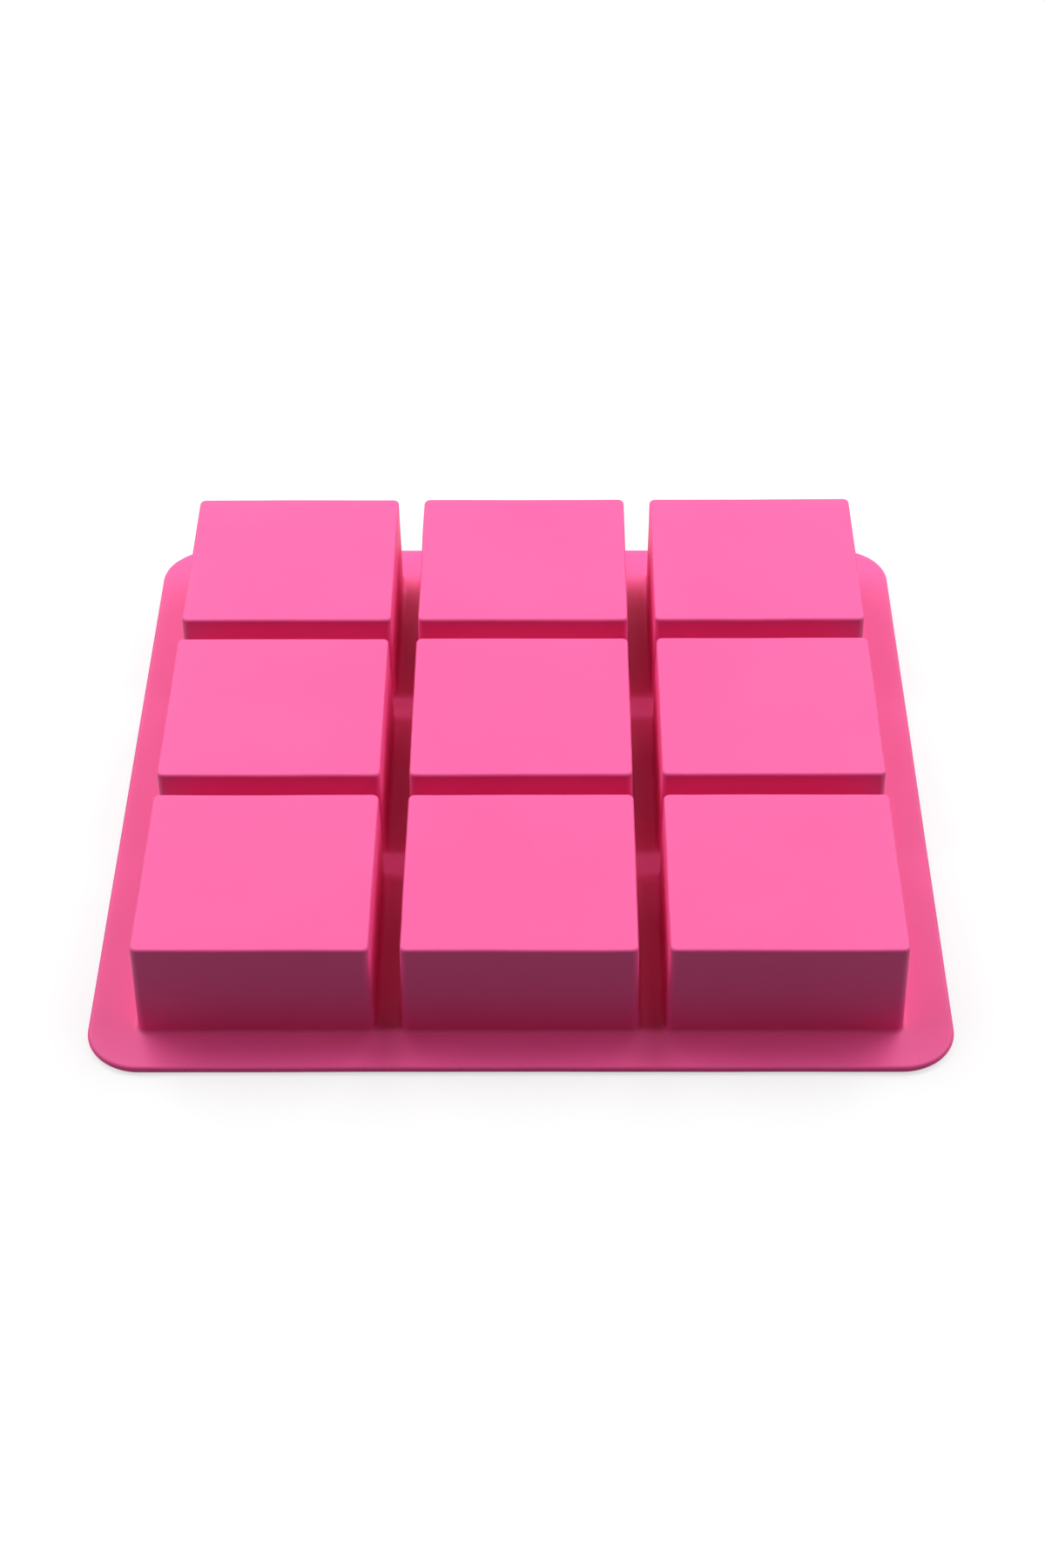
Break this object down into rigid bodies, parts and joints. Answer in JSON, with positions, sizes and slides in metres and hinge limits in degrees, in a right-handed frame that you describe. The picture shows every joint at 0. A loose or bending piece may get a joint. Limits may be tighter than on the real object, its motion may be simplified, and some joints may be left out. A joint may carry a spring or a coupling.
{
  "type": "soap bar mould",
  "caption": "Flexible silicone mould: a grid of deep square cups on a flat square rim with round corners, open on the rim's underside, for casting bars of soap, wax or resin.",
  "frame": {"origin": "centre of the flat underside, on the plane of the nine mouths, which is the face the mould lies on in the picture", "axes": "+Z from the mouths towards the outsides of the cup floors, which point up in the picture and down in use; +X to the right and +Y to the back of the picture, along the rows and columns of cups"},
  "size_m": [0.2228, 0.2228, 0.0308],
  "materials": {
    "silicone": "satin"
  },
  "bodies": {
    "root": {"rim_flange": "silicone", "web_grid": "silicone", "cup_front_left": "silicone", "cup_front_centre": "silicone", "cup_front_right": "silicone", "cup_middle_left": "silicone", "cup_middle_centre": "silicone", "cup_middle_right": "silicone", "cup_back_left": "silicone", "cup_back_centre": "silicone", "cup_back_right": "silicone"}
  },
  "joints": []
}
